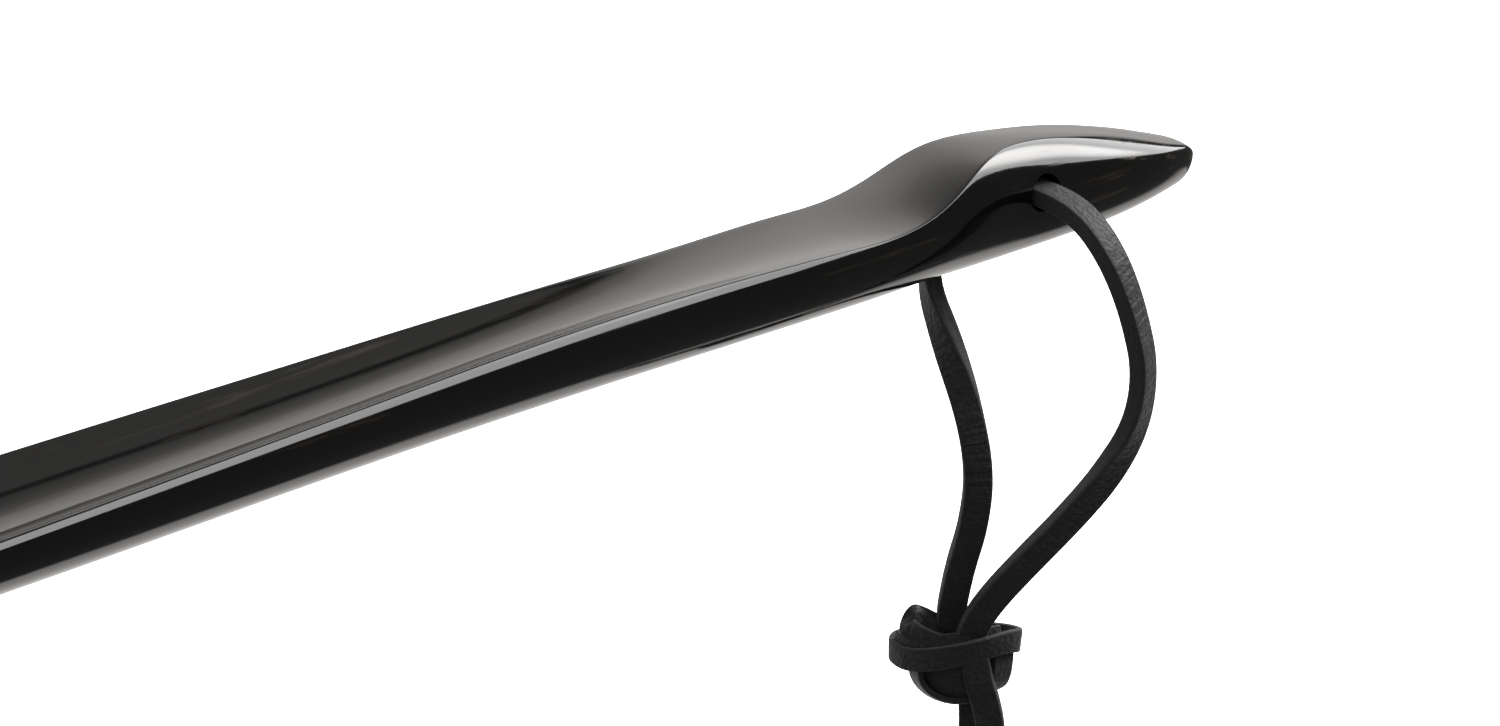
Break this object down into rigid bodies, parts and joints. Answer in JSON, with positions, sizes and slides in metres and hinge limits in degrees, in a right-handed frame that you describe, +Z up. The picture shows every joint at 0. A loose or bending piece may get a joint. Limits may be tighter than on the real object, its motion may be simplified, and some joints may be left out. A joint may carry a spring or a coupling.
{
  "type": "long-handled shoehorn",
  "caption": "Long-handled shoehorn carved from one piece of polished black horn, with a gutter blade, a thumb scoop, a rounded head and a knotted leather hanging lace.",
  "frame": {"origin": "middle of the hand grip, inside the shaft under the thumb scoop, where a hand holds the shoehorn", "axes": "+X along the shoehorn towards the head, +Y across it along the lace hole, +Z up out of the channel"},
  "size_m": [0.5084, 0.0452, 0.1166],
  "materials": {
    "black_horn": "hand-polished black buffalo horn with faint brown streaks along the grain",
    "black_leather": "matt black grained leather strip, cut edges slightly fibrous"
  },
  "bodies": {
    "horn": {"horn_body": "black_horn"},
    "lace": {"lace_through_hole": "black_leather", "lace_front_leg": "black_leather", "lace_rear_leg": "black_leather", "lace_knot": "black_leather", "lace_front_tail": "black_leather", "lace_rear_tail": "black_leather"}
  },
  "joints": [
    {"name": "lace_swing", "type": "hinge", "parent": "horn", "child": "lace", "pos_m": [0.032, 0, 0.0041], "axis": [0, 1, 0], "range_deg": [-65, 58]}
  ]
}
